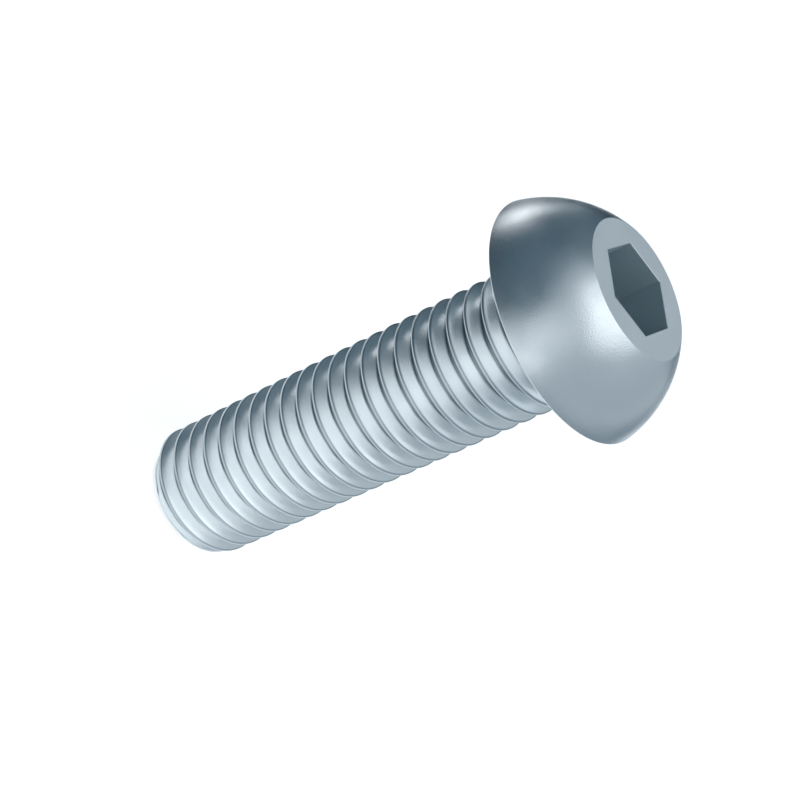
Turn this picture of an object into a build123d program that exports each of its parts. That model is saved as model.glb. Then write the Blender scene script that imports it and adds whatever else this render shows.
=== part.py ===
from build123d import *
import os
from itertools import pairwise
from math import ceil, cos, hypot, radians, sin, tan

# Button head socket screw, threaded to the head. All sizes are millimetres and degrees.
# The screw's axis is Z with the head upwards, the origin is the centre of the bearing face
# under the head, and one corner of the hexagon socket points along +X.
# The thread follows its helix in short straight steps, which keeps the solid light.

# Thread: a right-hand metric coarse thread
thread_size = 10.0  # nominal diameter
crest_allowance = 0.05  # how far the finished crest diameter stays below nominal
pitch = 1.5
flank_angle = 60.0  # between the two flanks of a groove
crest_cut = 1 / 8  # share of the sharp thread's height that is missing at the crest
root_cut = 1 / 6  # share of it that fills the root
turn_steps = 24  # straight steps in one turn of the thread
groove_start = 134.0  # where the groove leaves the tip, turned from a socket corner

# Shank
length = 35.0  # bearing face to tip
tip_diameter = 7.8  # flat end, a little under the root of the thread
tip_slope = 45.0  # tip chamfer, measured from the axis
neck_length = 1.3  # plain neck between the bearing face and the first crest
neck_fillet = 0.6  # between neck and bearing face
crest_fade = 45.0  # slope at which the crests die into the neck
groove_fade = 30.0  # slope at which the groove rises to the neck

# Head
head_diameter = 17.5
head_height = 5.5
rim_radius = 0.08  # rounded edge between bearing face and dome
flat_diameter = 10.1  # flat top around the socket

# Hexagon socket
key_size = 6.0  # across the flats of the key
key_clearance = 0.08  # how much wider the socket is than the key
socket_depth = 3.3  # straight walls
point_angle = 120.0  # cone at the bottom of the socket

# How the pieces of the drawing overlap before they are joined or cut
fade_gap = 0.1  # how much lower the groove ends than the crests begin
neck_overlap = 0.4  # how far the end of the shank reaches into the neck
spare_turns = 2  # turns of thread below the tip, which the tip's flat cuts off
round_reach = 0.5523  # how far the handles of a quarter circle's curve reach to its corner

# Worked out from the sizes above
crest_radius = (thread_size - crest_allowance) / 2
sharp_height = pitch / 2 / tan(radians(flank_angle / 2))
root_radius = crest_radius - sharp_height * (1 - crest_cut - root_cut)
crest_flat = pitch * crest_cut
root_flat = pitch * root_cut
# The thread is rolled on a blank of its pitch diameter, and the neck keeps that size.
neck_radius = crest_radius - sharp_height * (1 / 2 - crest_cut)
head_radius = head_diameter / 2
flat_radius = flat_diameter / 2
tip_radius = tip_diameter / 2
# The dome is part of a ball centred on the axis, through the rim and the edge of the flat.
dome_centre = (hypot(flat_radius, head_height) ** 2 - hypot(head_radius, rim_radius) ** 2) / (
    2 * (head_height - rim_radius)
)
dome_radius = hypot(flat_radius, head_height - dome_centre)

# One pitch of the thread as (radius, rise), from the middle of one root to the next
thread_profile = [
    (root_radius, root_flat / 2),
    (crest_radius, (pitch - crest_flat) / 2),
    (crest_radius, (pitch + crest_flat) / 2),
    (root_radius, pitch - root_flat / 2),
    (root_radius, pitch + root_flat / 2),
]


def turned(*lines):
    """Revolve a closed profile in the XZ plane about the screw's axis."""
    return revolve(Plane.XZ * make_face(Wire(lines)), Axis.Z)


def quarter_round(start, corner, end):
    """A quarter circle from start to end, tangent to the two lines that meet at the corner."""
    start, corner, end = Vector(start), Vector(corner), Vector(end)
    handles = [point + (corner - point) * round_reach for point in (start, end)]
    return Bezier(start, *handles, end)


def flat_face(*corners):
    """A plane face between corners."""
    return Face(Wire.make_polygon(corners))


def on_thread(profile_point, base, step):
    """Where a point of the thread's profile lies after a number of steps up from a base."""
    radius, rise = profile_point
    angle = radians(360 * step / turn_steps)
    height = base + rise + pitch * step / turn_steps
    return (radius * cos(angle), radius * sin(angle), height)


def threaded_bar(base, turns):
    """A bar with an endless thread, closed at both ends by a fan of faces and one step."""
    faces = []
    for lower, upper in pairwise(thread_profile):
        for step in range(turns * turn_steps):
            near = [on_thread(point, base, step) for point in (lower, upper)]
            far = [on_thread(point, base, step + 1) for point in (lower, upper)]
            if lower[0] == upper[0]:
                faces.append(flat_face(near[0], far[0], far[1], near[1]))
            else:
                faces.append(flat_face(near[0], far[0], far[1]))
                faces.append(flat_face(near[0], far[1], near[1]))
    for end in (base, base + turns * pitch):
        middle = (0, 0, end + pitch / 2)
        rim = [on_thread(thread_profile[0], end, step) for step in range(turn_steps + 1)]
        faces += [flat_face(middle, *pair) for pair in pairwise(rim)]
        faces.append(flat_face(middle, *(on_thread(point, end, 0) for point in thread_profile)))
    return Solid(Shell(faces))


def shank():
    """The thread, cut off by the tip's flat and chamfer and faded out below the neck."""
    clear = crest_radius + pitch
    chamfer_top = -length + (clear - tip_radius) / tan(radians(tip_slope))
    fade_slope = tan(radians(crest_fade))
    fade_bottom = -neck_length - (clear - neck_radius) / fade_slope
    fade_top = -neck_length + neck_overlap / fade_slope
    limits = Polyline(
        (0, -length),
        (tip_radius, -length),
        (clear, chamfer_top),
        (clear, fade_bottom),
        (neck_radius - neck_overlap, fade_top),
        (0, fade_top),
        close=True,
    )
    turns = ceil(length / pitch) + spare_turns
    bar = Rot(Z=groove_start) * threaded_bar(-length - spare_turns * pitch, turns)
    return bar & turned(*limits.edges())


def head():
    """Button head and neck, with the cone under the neck that ends the groove."""
    groove_end = -neck_length - fade_gap
    cone_point = groove_end - neck_radius / tan(radians(groove_fade))
    fillet_end = neck_radius + neck_fillet
    rim_start = head_radius - rim_radius
    return turned(
        Line((0, cone_point), (neck_radius, groove_end)),
        Line((neck_radius, groove_end), (neck_radius, -neck_fillet)),
        quarter_round((neck_radius, -neck_fillet), (neck_radius, 0), (fillet_end, 0)),
        Line((fillet_end, 0), (rim_start, 0)),
        quarter_round((rim_start, 0), (head_radius, 0), (head_radius, rim_radius)),
        RadiusArc((head_radius, rim_radius), (flat_radius, head_height), -dome_radius),
        Line((flat_radius, head_height), (0, head_height)),
        Line((0, head_height), (0, cone_point)),
    )


def socket():
    """What the hexagon key fills, down to the drill point under it."""
    half_width = (key_size + key_clearance) / 2
    floor = head_height - socket_depth
    point = half_width / tan(radians(point_angle / 2))
    hexagon = RegularPolygon(half_width, 6, major_radius=False)
    walls = extrude(Plane.XY.offset(head_height) * hexagon, -socket_depth)
    drill = turned(
        Line((0, floor - point), (half_width, floor)),
        Line((half_width, floor), (0, floor)),
        Line((0, floor), (0, floor - point)),
    )
    return walls + drill


screw = shank() + head() - socket()
screw.label = "screw"

os.makedirs("parts", exist_ok=True)
export_step(screw, "parts/screw.step")
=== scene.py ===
import bpy
import numpy as np
from math import cos, pi, radians, sin, sqrt, tan
from mathutils import Matrix, Vector


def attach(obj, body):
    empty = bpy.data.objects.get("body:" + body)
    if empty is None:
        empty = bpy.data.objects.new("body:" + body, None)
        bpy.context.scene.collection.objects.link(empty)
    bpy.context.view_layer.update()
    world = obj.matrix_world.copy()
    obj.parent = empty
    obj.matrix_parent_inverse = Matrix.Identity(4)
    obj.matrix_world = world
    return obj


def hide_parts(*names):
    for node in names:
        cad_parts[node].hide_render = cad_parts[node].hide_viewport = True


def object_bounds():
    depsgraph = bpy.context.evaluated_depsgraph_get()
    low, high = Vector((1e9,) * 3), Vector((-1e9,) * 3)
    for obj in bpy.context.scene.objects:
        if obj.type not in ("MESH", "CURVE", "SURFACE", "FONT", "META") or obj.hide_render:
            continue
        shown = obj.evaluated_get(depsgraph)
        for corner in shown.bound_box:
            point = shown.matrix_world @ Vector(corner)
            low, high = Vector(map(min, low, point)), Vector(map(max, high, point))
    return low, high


# Button head socket screw, M10 x 1.5, 35 long, zinc plated and blue passivated.
# The numbers in the dictionaries are millimetres and degrees, and the scene is in metres.
# The screw stands on its tip with the axis on Z and the bearing face at z = 0.

mm = 0.001

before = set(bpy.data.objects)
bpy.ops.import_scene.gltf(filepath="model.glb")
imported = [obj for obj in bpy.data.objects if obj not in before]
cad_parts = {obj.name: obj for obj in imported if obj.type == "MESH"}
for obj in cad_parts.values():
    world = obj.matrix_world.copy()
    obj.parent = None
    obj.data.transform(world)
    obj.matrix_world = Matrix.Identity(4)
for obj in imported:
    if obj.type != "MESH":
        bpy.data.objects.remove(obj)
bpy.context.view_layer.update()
print("frame loaded")


# Screw

screwSize = {
    "length": 35.0,  # bearing face to tip
    "crestRadius": 4.975,
    "pitch": 1.5,
    "flankSlope": 60.0,  # of the groove's wall, measured from the axis
    "crestCut": 1 / 8,  # share of the sharp thread's height that is missing at the crest
    "rootRounding": 1 / 6,  # radius of the groove's bottom, as a share of that height
    "crestRounding": 0.06,
    "grooveHeight": 0.442,  # of the middle of a groove at azimuth 0, the others being pitches away
    "neckLength": 1.3,
    "neckFillet": 0.6,
    "crestFade": 45.0,  # slope of the cone in which the crests die at the neck
    "grooveFade": 30.0,  # slope of the cone in which the groove rises to the neck
    "fadeGap": 0.1,  # how much lower the groove ends than the crests begin
    "blend": 0.05,  # softness of the edges where the cones cut the thread
    "tipRadius": 3.9,
    "tipSlope": 45.0,  # of the tip's chamfer, measured from the axis
    "tipRounding": 0.12,
    "headRadius": 8.75,
    "headHeight": 5.5,
    "rimRadius": 0.08,
    "flatRadius": 5.05,
    "flatRounding": 0.12,
    "socketHalfWidth": 3.04,
    "socketDepth": 3.3,
    "socketRounding": 0.05,
    "pointAngle": 120.0,
    "columns": 120,  # points round the axis, so that the socket's corners fall on columns
    "steps": {  # rows of faces along each stretch of the outline
        "root": 4, "flank": 6, "crestEdge": 3, "endFace": 6, "tipEdge": 4, "neck": 2, "fillet": 8,
        "bearingFace": 4, "rim": 6, "dome": 36, "flatEdge": 5, "mouth": 4, "wall": 5, "point": 8},
}


def smoothMin(a, b, softness):
    # min(a, b) - max(softness - |a - b|, 0)^2 / (4 softness)
    return np.minimum(a, b) - np.maximum(softness - np.abs(a - b), 0) ** 2 / (4 * softness)


def threadForm(size):
    # sharp height h = pitch / 2 tan(slope), sharpRoot = crest - h (1 - cut), and the neck keeps
    # the pitch radius, crest - h (1 / 2 - cut); away from the groove's middle the root's arc
    # ends at rootRounding sin(slope), and the rounding beside the crest is centred at
    # pitch / 2 (1 - cut) + rounding tan(slope / 2) and begins rounding sin(slope) before that
    slope, rounding = radians(size["flankSlope"]), size["crestRounding"]
    sharpHeight = size["pitch"] / 2 * tan(slope)
    rootRounding = sharpHeight * size["rootRounding"]
    edgeCentre = size["pitch"] / 2 * (1 - size["crestCut"]) + rounding * tan(slope / 2)
    return {
        "slope": slope,
        "sharpRoot": size["crestRadius"] - sharpHeight * (1 - size["crestCut"]),
        "neck": size["crestRadius"] - sharpHeight * (1 / 2 - size["crestCut"]),
        "rootRounding": rootRounding,
        "rootEnd": rootRounding * sin(slope),
        "edgeStart": edgeCentre - rounding * sin(slope),
        "edgeCentre": edgeCentre,
    }


def threadRadius(fromGroove, size):
    # a = distance from the groove's middle, folded to half a pitch
    # root:  r = sharpRoot + rootRounding / cos(slope) - sqrt(rootRounding^2 - a^2)
    # flank: r = sharpRoot + a tan(slope)
    # edge:  r = crest - rounding + sqrt(rounding^2 - (a - edgeCentre)^2)
    form = threadForm(size)
    half, crest, rounding = size["pitch"] / 2, size["crestRadius"], size["crestRounding"]
    rootCentre = form["sharpRoot"] + form["rootRounding"] / cos(form["slope"])
    a = np.abs((fromGroove + half) % size["pitch"] - half)
    root = rootCentre - np.sqrt(np.maximum(form["rootRounding"] ** 2 - a**2, 0))
    flank = form["sharpRoot"] + a * tan(form["slope"])
    edge = crest - rounding + np.sqrt(np.maximum(rounding**2 - (a - form["edgeCentre"]) ** 2, 0))
    stretches = [a < form["rootEnd"], a < form["edgeStart"], a < form["edgeCentre"]]
    return np.select(stretches, [root, flank, edge], crest)


def shankRadius(angle, z, size):
    # thread at height z - pitch angle / 2 pi, cut by the tip's cone and by the cone under the
    # neck, and filled by the cone in which the groove rises
    neck = threadForm(size)["neck"]
    thread = threadRadius(z - size["grooveHeight"] - size["pitch"] * angle / (2 * pi), size)
    tipCone = size["tipRadius"] + (z + size["length"]) * tan(radians(size["tipSlope"]))
    fadeCone = neck + (-size["neckLength"] - z) * tan(radians(size["crestFade"]))
    rise = neck - (-size["neckLength"] - size["fadeGap"] - z) * tan(radians(size["grooveFade"]))
    cut = smoothMin(smoothMin(thread, tipCone, size["blend"]), fadeCone, size["blend"])
    return -smoothMin(-cut, -np.minimum(rise, neck), size["blend"])


def gridTriangles(rows, columns, shift=0):
    # cell (row, column) gives two triangles, and the last column joins the first, shift rows up
    row, column = np.meshgrid(np.arange(rows - 1 - shift), np.arange(columns), indexing="ij")
    nextColumn = (column + 1) % columns
    nextRow = row + shift * (column == columns - 1)
    low, lowNext = row * columns + column, nextRow * columns + nextColumn
    high, highNext = low + columns, lowNext + columns
    return np.concatenate([
        np.stack([low, lowNext, highNext], -1).reshape(-1, 3),
        np.stack([low, highNext, high], -1).reshape(-1, 3),
    ])


def shankPatch(size):
    # point(row, angle) = (r cos, r sin, z), z = rowHeight + pitch angle / 2 pi, held between
    # the tip's edge and the neck; normal = (1, -dr/dangle / r, -dr/dz) in (out, round, up)
    form, pitch, columns, steps = threadForm(size), size["pitch"], size["columns"], size["steps"]
    halfGroove = np.concatenate([
        np.linspace(0, form["rootEnd"], steps["root"] + 1)[:-1],
        np.linspace(form["rootEnd"], form["edgeStart"], steps["flank"] + 1)[:-1],
        np.linspace(form["edgeStart"], form["edgeCentre"], steps["crestEdge"] + 1)[:-1],
        [pitch / 2],
    ])
    turnRows = np.concatenate([halfGroove, pitch - halfGroove[-2:0:-1]])
    spareTurns = 3  # so that the rows reach past the tip and the neck all round
    turns = int(size["length"] / pitch) + spareTurns
    start = size["grooveHeight"] - pitch * (turns - 1)
    rowHeight = (start + pitch * np.arange(turns)[:, None] + turnRows).ravel()
    slope, top = radians(size["tipSlope"]), -size["neckLength"]
    tipEdge = size["tipRounding"] * tan((pi / 2 - slope) / 2) * cos(slope) - size["length"]
    angle = 2 * pi * np.arange(columns) / columns
    z = np.clip(rowHeight[:, None] + pitch * angle / (2 * pi), tipEdge, top)
    angle = np.broadcast_to(angle, z.shape)
    radius = shankRadius(angle, z, size)
    nudge = 0.001  # millimetres and radians, over which the slopes are taken
    higher, lower = shankRadius(angle, z + nudge, size), shankRadius(angle, z - nudge, size)
    after, before = shankRadius(angle + nudge, z, size), shankRadius(angle - nudge, z, size)
    radius = np.where(z <= tipEdge, size["tipRadius"] + (size["length"] + tipEdge) * tan(slope), radius)
    radius = np.where(z >= top, form["neck"], radius)
    out = np.stack([np.cos(angle), np.sin(angle), 0 * z], -1)
    about = np.stack([-np.sin(angle), np.cos(angle), 0 * z], -1)
    normal = out - ((after - before) / (2 * nudge) / radius)[..., None] * about
    normal[..., 2] = -(higher - lower) / (2 * nudge)
    point = radius[..., None] * out
    point[..., 2] = z
    return point, normal, gridTriangles(len(rowHeight), columns, len(turnRows))


def turnedPatch(profile, size):
    # profile rows of (radius, height, outward part and upward part of the normal), turned:
    # point = (r cos, r sin, z), normal = (out cos, out sin, up)
    angle = 2 * pi * np.arange(size["columns"]) / size["columns"]
    profile = np.array(profile)[:, :, None] + 0 * angle
    radius, height, outward, upward = profile.transpose(1, 0, 2)
    point = np.stack([radius * np.cos(angle), radius * np.sin(angle), height], -1)
    normal = np.stack([outward * np.cos(angle), outward * np.sin(angle), upward], -1)
    return point, normal, gridTriangles(len(radius), size["columns"])


def arc(centre, radius, first, last, steps):
    # centre + radius (cos, sin) from the first to the last angle; a negative radius bulges
    # into the material and its normal points to the centre
    turn = np.radians(np.linspace(first, last, steps + 1))
    side = np.sign(radius)
    return np.stack([
        centre[0] + abs(radius) * np.cos(turn), centre[1] + abs(radius) * np.sin(turn),
        side * np.cos(turn), side * np.sin(turn),
    ], -1)


def line(first, last, steps):
    # first + share (last - first), whose normal lies to the right of its direction
    share = np.linspace(0, 1, steps + 1)[:, None]
    along = np.subtract(last, first) / np.hypot(*np.subtract(last, first))
    normal = np.array([along[1], -along[0]])
    return np.hstack([first + share * np.subtract(last, first), normal + 0 * share])


def headProfile(size):
    # neck, fillet, bearing face, rim, dome and the rounded edge of the flat top; the dome is
    # part of a ball with its centre on the axis: (end^2 - start^2) / 2 (rise from start to end)
    neck, steps = threadForm(size)["neck"], size["steps"]
    fillet, rim, edge = size["neckFillet"], size["rimRadius"], size["flatRounding"]
    start = np.array([size["headRadius"], rim])
    end = np.array([size["flatRadius"], size["headHeight"]])
    centre = np.array([0, (end @ end - start @ start) / (2 * (end[1] - start[1]))])
    ball = np.hypot(*(start - centre))
    edgeHeight = size["headHeight"] - edge
    edgeRadius = sqrt((ball - edge) ** 2 - (edgeHeight - centre[1]) ** 2)
    domeFirst = np.degrees(np.arctan2(start[1] - centre[1], start[0]))
    domeLast = np.degrees(np.arctan2(edgeHeight - centre[1], edgeRadius))
    return np.concatenate([
        line((neck, -size["neckLength"]), (neck, -fillet), steps["neck"]),
        arc((neck + fillet, -fillet), -fillet, 180, 90, steps["fillet"]),
        line((neck + fillet, 0), (size["headRadius"] - rim, 0), steps["bearingFace"]),
        arc((size["headRadius"] - rim, rim), rim, -90, 0, steps["rim"]),
        arc(centre, ball, domeFirst, domeLast, steps["dome"]),
        arc((edgeRadius, edgeHeight), edge, domeLast, 90, steps["flatEdge"]),
    ])


def socketPatch(size):
    # hexagon(angle, half) = half / cos(angle folded to 30 degrees); rows go from the flat top's
    # edge over the rounded mouth down the walls, over the floor and the drill point
    steps = size["steps"]
    angle = 2 * pi * np.arange(size["columns"]) / size["columns"]
    side = angle // (pi / 3) * (pi / 3) + pi / 6
    toSide = np.where(np.isclose(angle % (pi / 3), 0), angle, side)
    stretch = 1 / np.cos(angle - side)
    top, half, mouth = size["headHeight"], size["socketHalfWidth"], size["socketRounding"]
    floor = top - size["socketDepth"]
    turn = np.radians(np.linspace(0, 90, steps["mouth"] + 1))
    rows = [(half + mouth * (1 - sin(a)), top - mouth * (1 - cos(a)), sin(a), cos(a)) for a in turn]
    rows += [(half, z, 1, 0) for z in np.linspace(top - mouth, floor, steps["wall"] + 1)]
    rows += [(half, floor, 0, 1)]
    rows = np.array(rows)[:, :, None] + 0 * angle
    reach, height, inward, upward = rows.transpose(1, 0, 2)
    point = np.stack([
        reach * stretch * np.cos(angle), reach * stretch * np.sin(angle), height], -1)
    normal = np.stack([-inward * np.cos(toSide), -inward * np.sin(toSide), upward], -1)
    drop = half / tan(radians(size["pointAngle"] / 2))
    drillPoint = line((half, floor), (0, floor - drop), steps["point"])
    bottom = np.concatenate([[[half, floor, 0, 1]], drillPoint])
    first, firstNormal, _ = turnedPatch(headProfile(size)[-1:], size)
    last, lastNormal, _ = turnedPatch(bottom, size)
    point = np.concatenate([first, point, last])
    normal = np.concatenate([firstNormal, normal, lastNormal])
    return point, normal, gridTriangles(len(point), size["columns"])


def tipProfile(size):
    # from the middle of the end face out to its rounded edge, which turns from straight down to
    # square on the chamfer and takes rounding tan(turn / 2) of the face
    edge, slope, steps = size["tipRounding"], size["tipSlope"], size["steps"]
    flat = size["tipRadius"] - edge * tan(radians(90 - slope) / 2)
    return np.concatenate([
        line((0, -size["length"]), (flat, -size["length"]), steps["endFace"]),
        arc((flat, edge - size["length"]), edge, -90, -slope, steps["tipEdge"]),
    ])


def makeSkin(name, patches):
    # points that meet are welded by their rounded place, triangles that lost an edge are
    # dropped, and each corner keeps the normal of its own patch
    points, normals, triangles = zip(*patches)
    offsets = np.cumsum([0] + [p[..., 0].size for p in points])
    point = np.concatenate([p.reshape(-1, 3) for p in points])
    normal = np.concatenate([n.reshape(-1, 3) for n in normals])
    triangle = np.concatenate([t + offset for t, offset in zip(triangles, offsets)])
    normal /= np.linalg.norm(normal, axis=1, keepdims=True)
    weldDigits = 5  # decimals of a millimetre
    _, keep, weld = np.unique(
        np.round(point, weldDigits), axis=0, return_index=True, return_inverse=True)
    corner = weld.ravel()[triangle]
    whole = (corner != np.roll(corner, 1, axis=1)).all(axis=1)
    corner, triangle = corner[whole], triangle[whole]
    mesh = bpy.data.meshes.new(name)
    mesh.from_pydata((point[keep] * mm).tolist(), [], corner.tolist())
    mesh.polygons.foreach_set("use_smooth", np.ones(len(corner), dtype=bool))
    mesh.normals_split_custom_set(normal[triangle].reshape(-1, 3).tolist())
    skin = bpy.data.objects.new(name, mesh)
    bpy.context.scene.collection.objects.link(skin)
    return skin


screw = makeSkin("screwSkin", [
    turnedPatch(tipProfile(screwSize), screwSize),
    shankPatch(screwSize),
    turnedPatch(headProfile(screwSize), screwSize),
    socketPatch(screwSize),
])
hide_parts("screw")
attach(screw, "root")
print("screw skin made,", len(screw.data.polygons), "triangles")


# Materials

def linear(hexColour):
    # each sRGB channel c: c / 12.92 below 0.04045, else ((c + 0.055) / 1.055) ^ 2.4
    channels = [int(hexColour[i:i + 2], 16) / 255 for i in (1, 3, 5)]
    return [c / 12.92 if c <= 0.04045 else ((c + 0.055) / 1.055) ** 2.4 for c in channels] + [1]


def addNode(tree, kind, settings=None, links=None):
    # one node with its settings and links; an input is known by its name or its number, and
    # each link comes from a node's first output or from a (node, output) pair; a mix of colours
    # has them at inputs 6 and 7 and the result at output 2
    node = tree.nodes.new(kind)
    for key, value in (settings or {}).items():
        if isinstance(key, str) and key not in node.inputs:
            setattr(node, key, value)
        else:
            node.inputs[key].default_value = value
    for key, source in (links or {}).items():
        source, output = source if isinstance(source, tuple) else (source, 0)
        tree.links.new(source.outputs[output], node.inputs[key])
    return node


def newMaterial(name):
    # a material whose node tree is empty, and that tree
    material = bpy.data.materials.new(name)
    material.use_nodes = True
    material.node_tree.nodes.clear()
    return material, material.node_tree


zincPlating = {
    "colour": "#e1e7eb",
    "roughness": 0.33,
    "cloudSize": 2.2,  # patches of slightly duller plating
    "cloudDetail": 3.0,
    "cloudRange": (0.3, 0.7),  # values of the noise between which the roughness swings
    "cloudRoughness": 0.05,  # how far it swings to either side
    "grainSize": 0.09,  # of the forged head's grain under the plating
    "grainDetail": 2.0,
    "grainHeight": 0.012,
    "grainStart": (-1.6, -0.4),  # heights between which the head's full grain sets in
    "threadGrain": 0.15,  # share of the grain that is left on the rolled thread
    "socketReach": (3.6, 5.46),  # radius and height of what counts as the inside of the socket
    # painted shade: the socket's recess is given a darker colour
    "socketPaintedShade": "#bac8ce",
    "socketRoughness": 0.85,
    "threadHeight": (-34.95, -1.2),  # lowest and highest place of the thread
    "threadPaintedShadeAndLight": (  # radius and colour: painted shade in the root, painted light that brightens the flank, painted shade on the crest
        (4.07, "#8f979c"), (4.13, "#f5f9fb"), (4.86, "#f5f9fb"), (4.93, "#b6c0c6")),
}


def blueZincPlatedSteel(finish):
    # steel, cold forged and thread rolled, then zinc plated in a barrel and blue passivated: a
    # satin metal with a cool tint, finely grained on the forged head; on the thread its colour
    # follows the radius, with painted shade in the root and on the crest and painted light on the
    # flank; its grain is a bump from fine noise, its roughness is cloudy, and the socket, which the
    # barrel's polish doesn't reach, is dull and painted darker as shade
    material, tree = newMaterial("blueZincPlatedSteel")
    place = addNode(tree, "ShaderNodeTexCoord"), "Object"
    height = addNode(tree, "ShaderNodeSeparateXYZ", links={"Vector": place}), "Z"
    across = addNode(tree, "ShaderNodeVectorMath", {"operation": "MULTIPLY", 1: (1, 1, 0)}, {0: place})
    radius = addNode(tree, "ShaderNodeVectorMath", {"operation": "LENGTH"}, {0: across}), "Value"

    reach, top = finish["socketReach"]
    inner = addNode(tree, "ShaderNodeMath", {"operation": "LESS_THAN", 1: reach * mm}, {0: radius})
    below = addNode(tree, "ShaderNodeMath", {"operation": "LESS_THAN", 1: top * mm}, {0: height})
    above = addNode(tree, "ShaderNodeMath", {"operation": "GREATER_THAN", 1: 0.0}, {0: height})
    deep = addNode(tree, "ShaderNodeMath", {"operation": "MULTIPLY"}, {0: below, 1: above})
    socket = addNode(tree, "ShaderNodeMath", {"operation": "MULTIPLY"}, {0: inner, 1: deep})
    low, high = finish["threadHeight"]
    over = addNode(tree, "ShaderNodeMath", {"operation": "GREATER_THAN", 1: low * mm}, {0: height})
    under = addNode(tree, "ShaderNodeMath", {"operation": "LESS_THAN", 1: high * mm}, {0: height})
    thread = addNode(tree, "ShaderNodeMath", {"operation": "MULTIPLY"}, {0: over, 1: under})

    # painted shade and light: the thread's colour is darker in the root and on the crest and lighter on
    # the flank
    stops = finish["threadPaintedShadeAndLight"]
    first, last = stops[0][0], stops[-1][0]
    share = addNode(tree, "ShaderNodeMapRange", {
        "From Min": first * mm, "From Max": last * mm}, {"Value": radius})
    ramp = addNode(tree, "ShaderNodeValToRGB", links={"Fac": share})
    for stopRadius, stopColour in stops[1:-1]:
        stop = ramp.color_ramp.elements.new((stopRadius - first) / (last - first))
        stop.color = linear(stopColour)
    ramp.color_ramp.elements[0].color = linear(stops[0][1])
    ramp.color_ramp.elements[-1].color = linear(stops[-1][1])
    onThread = addNode(tree, "ShaderNodeMix", {
        "data_type": "RGBA", 6: linear(finish["colour"])}, {0: thread, 7: ramp})
    # painted shade: inside the socket the colour is darker
    colour = addNode(tree, "ShaderNodeMix", {
        "data_type": "RGBA", 7: linear(finish["socketPaintedShade"])}, {0: socket, 6: (onThread, 2)})

    cloud = addNode(tree, "ShaderNodeTexNoise", {
        "Scale": 1 / (finish["cloudSize"] * mm), "Detail": finish["cloudDetail"]}, {"Vector": place})
    thin, thick = finish["cloudRange"]
    outside = addNode(tree, "ShaderNodeMapRange", {
        "From Min": thin, "From Max": thick,
        "To Min": finish["roughness"] - finish["cloudRoughness"],
        "To Max": finish["roughness"] + finish["cloudRoughness"]}, {"Value": cloud})
    inside = addNode(tree, "ShaderNodeMath", {
        "operation": "MULTIPLY", 1: finish["socketRoughness"]}, {0: socket})
    rough = addNode(tree, "ShaderNodeMath", {"operation": "MAXIMUM"}, {0: outside, 1: inside})

    grain = addNode(tree, "ShaderNodeTexNoise", {
        "Scale": 1 / (finish["grainSize"] * mm), "Detail": finish["grainDetail"]}, {"Vector": place})
    start, end = finish["grainStart"]
    strength = addNode(tree, "ShaderNodeMapRange", {
        "From Min": start * mm, "From Max": end * mm,
        "To Min": finish["threadGrain"], "To Max": 1.0}, {"Value": height})
    bump = addNode(tree, "ShaderNodeBump", {
        "Distance": finish["grainHeight"] * mm}, {"Strength": strength, "Height": grain})
    metal = addNode(tree, "ShaderNodeBsdfPrincipled", {"Metallic": 1.0}, {
        "Base Color": (colour, 2), "Roughness": rough, "Normal": bump})
    addNode(tree, "ShaderNodeOutputMaterial", links={"Surface": metal})
    return material


screw.data.materials.append(blueZincPlatedSteel(zincPlating))
print("materials made")


# Floor and light

room = {
    "floorSide": 20000.0,
    "floorColour": "#f4f5f6",
    "glowColour": "#ffffff",
    "glowLevel": 0.6,  # for the eye, gloss and glass alone, so that the paper reads as white
    "boardHeight": 1.0,  # top of the boards above the floor
    "airColour": "#a8b4bc",
    "airLevel": 1.0,
    "middle": (0.0, 0.0, -8.0),  # what the lamps and cards face
    "azimuthZero": 2.9,  # where the camera stands; the azimuths below are counted from it
}

lamps = {  # azimuth, elevation, distance, width, height, level: how bright it looks, 1 is white
    "overheadSoftbox": (80, 82, 500, 440, 440, 1.0),
    "frontSoftbox": (2, 28, 500, 260, 300, 0.45),
    "smallSoftbox": (16, 6, 500, 130, 110, 1.2),
    "backSoftbox": (180, 32, 500, 170, 170, 0.16),
    "sideSoftbox": (-122, -3.5, 160, 82, 44, 1.6),
}

cards = {  # azimuth, elevation, distance, width, height, colour
    "leftCard": (-78, 14, 600, 1760, 880, "#7c939e"),
    "backCard": (-137, 34, 600, 560, 640, "#7c939e"),
}

lowCards = {  # small cards behind the screw that only its reflections meet, given like the cards
    "lowLeftCard": (-166, 0, 170, 100, 90, "#4a5963"),
    "lowRightCard": (168, 0, 170, 90, 90, "#95a2ab"),
}

boards = {  # lying on the floor beside the picture, for reflections too: two corners, colour
    "rightBoard": ((-600, 50), (600, 700), "#a6b1b8"),
    "leftBoard": ((-600, -42), (600, -700), "#5a6973"),
}


def facing(azimuth, elevation, distance):
    # place = middle + distance (cos e cos a, cos e sin a, sin e), local Z away from the middle
    a, e = radians(azimuth + room["azimuthZero"]), radians(elevation)
    back = Vector((cos(e) * cos(a), cos(e) * sin(a), sin(e)))
    place = (Vector(room["middle"]) + back * distance) * mm
    return Matrix.Translation(place) @ back.to_track_quat("Z", "Y").to_matrix().to_4x4()


def addLamp(name, azimuth, elevation, distance, width, height, level):
    # power = level pi area, which gives a surface as bright as a white paper times level
    lamp = bpy.data.lights.new(name, "AREA")
    lamp.shape = "RECTANGLE"
    lamp.size, lamp.size_y = width * mm, height * mm
    lamp.energy = level * pi * lamp.size * lamp.size_y
    holder = bpy.data.objects.new(name, lamp)
    holder.matrix_world = facing(azimuth, elevation, distance)
    holder.visible_camera = False
    bpy.context.scene.collection.objects.link(holder)


def addSheet(name, corners, material):
    # a flat sheet through four corners
    mesh = bpy.data.meshes.new(name)
    mesh.from_pydata(corners, [], [(0, 1, 2, 3)])
    mesh.materials.append(material)
    sheet = bpy.data.objects.new(name, mesh)
    bpy.context.scene.collection.objects.link(sheet)
    return sheet


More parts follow.
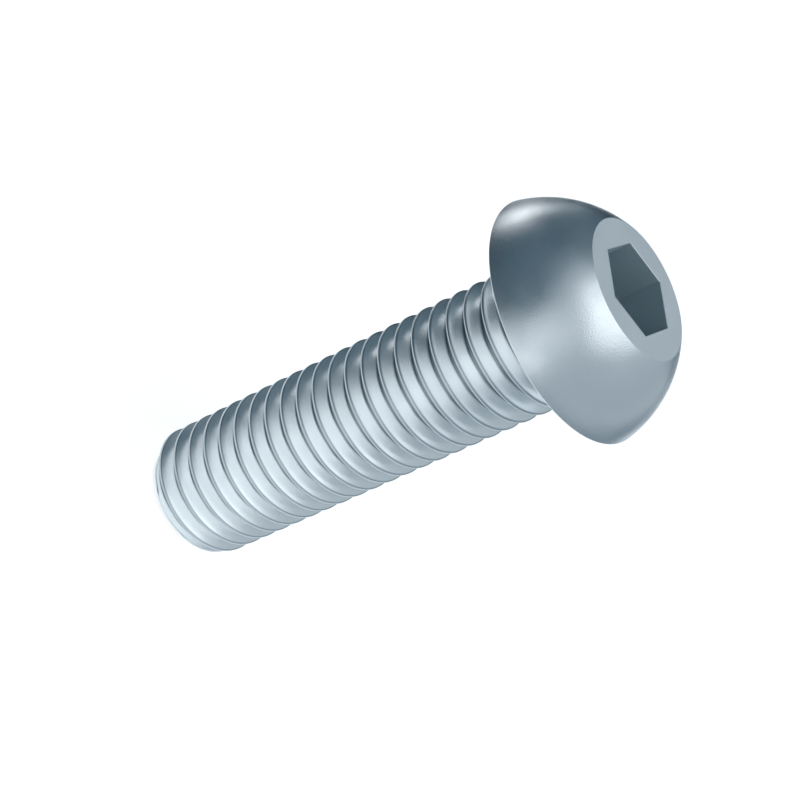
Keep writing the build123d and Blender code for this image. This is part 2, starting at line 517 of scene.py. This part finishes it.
def addCard(name, azimuth, elevation, distance, width, height, colour):
    # a standing card with corners at (+-width / 2, +-height / 2), which the camera doesn't see
    stand = facing(azimuth, elevation, distance)
    x, y = width * mm / 2, height * mm / 2
    corners = [stand @ Vector(corner) for corner in ((-x, -y, 0), (x, -y, 0), (x, y, 0), (-x, y, 0))]
    card = addSheet(name, corners, mattCard(name, colour))
    card.visible_camera = False
    return card


def onlyReflected(sheet):
    # the sheet acts on reflections alone: it isn't seen, casts no shadow and shades no floor
    sheet.visible_camera = sheet.visible_diffuse = sheet.visible_shadow = False


def whitePaper(values):
    # matt paper, which glows a little for rays that come from the eye, a mirror or glass:
    # glow = level max(eye, gloss, transmission)
    material, tree = newMaterial("whitePaper")
    path = addNode(tree, "ShaderNodeLightPath")
    eyeOrGloss = addNode(tree, "ShaderNodeMath", {"operation": "MAXIMUM"}, {
        0: (path, "Is Camera Ray"), 1: (path, "Is Glossy Ray")})
    seen = addNode(tree, "ShaderNodeMath", {"operation": "MAXIMUM"}, {
        0: eyeOrGloss, 1: (path, "Is Transmission Ray")})
    level = addNode(tree, "ShaderNodeMath", {
        "operation": "MULTIPLY", 1: values["glowLevel"]}, {0: seen})
    glow = addNode(tree, "ShaderNodeEmission", {
        "Color": linear(values["glowColour"])}, {"Strength": level})
    paper = addNode(tree, "ShaderNodeBsdfDiffuse", {"Color": linear(values["floorColour"])})
    both = addNode(tree, "ShaderNodeAddShader", links={0: paper, 1: glow})
    addNode(tree, "ShaderNodeOutputMaterial", links={"Surface": both})
    return material


def mattCard(name, colour):
    # dyed card, matt, so that it has no highlight of its own
    material, tree = newMaterial(name)
    card = addNode(tree, "ShaderNodeBsdfDiffuse", {"Color": linear(colour)})
    addNode(tree, "ShaderNodeOutputMaterial", links={"Surface": card})
    return material


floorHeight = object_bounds()[0].z
reach = room["floorSide"] * mm / 2
addSheet("floor", [
    (-reach, -reach, floorHeight), (reach, -reach, floorHeight),
    (reach, reach, floorHeight), (-reach, reach, floorHeight)], whitePaper(room))
for name, values in lamps.items():
    addLamp(name, *values)
for name, values in cards.items():
    addCard(name, *values)
for name, values in lowCards.items():
    onlyReflected(addCard(name, *values))
for name, ((x0, y0), (x1, y1), colour) in boards.items():
    height = floorHeight + room["boardHeight"] * mm
    corners = [(x * mm, y * mm, height) for x, y in ((x0, y0), (x1, y0), (x1, y1), (x0, y1))]
    onlyReflected(addSheet(name, corners, mattCard(name, colour)))

world = bpy.data.worlds.new("studio")
bpy.context.scene.world = world
world.use_nodes = True
world.node_tree.nodes["Background"].inputs["Color"].default_value = linear(room["airColour"])
world.node_tree.nodes["Background"].inputs["Strength"].default_value = room["airLevel"]
print("floor and light made")


# Camera

view = {
    "place": (127.479, 6.418, 66.208),
    "aim": (0.0, 0.009, -14.699),  # a point on the screw's axis
    "roll": 65.04,
    "lens": 97.21,
    "sensorWidth": 36.0,
    "clipStart": 10.0,
}

camera = bpy.data.objects.new("camera", bpy.data.cameras.new("camera"))
bpy.context.scene.collection.objects.link(camera)
camera.data.lens = view["lens"]
camera.data.sensor_width = view["sensorWidth"]
camera.data.clip_start = view["clipStart"] * mm
away = (Vector(view["aim"]) - Vector(view["place"])) * mm
turn = away.to_track_quat("-Z", "Y").to_matrix() @ Matrix.Rotation(radians(view["roll"]), 3, "Z")
camera.matrix_world = Matrix.Translation(Vector(view["place"]) * mm) @ turn.to_4x4()
bpy.context.scene.camera = camera
bpy.context.scene.view_settings.view_transform = "Standard"
print("camera made")
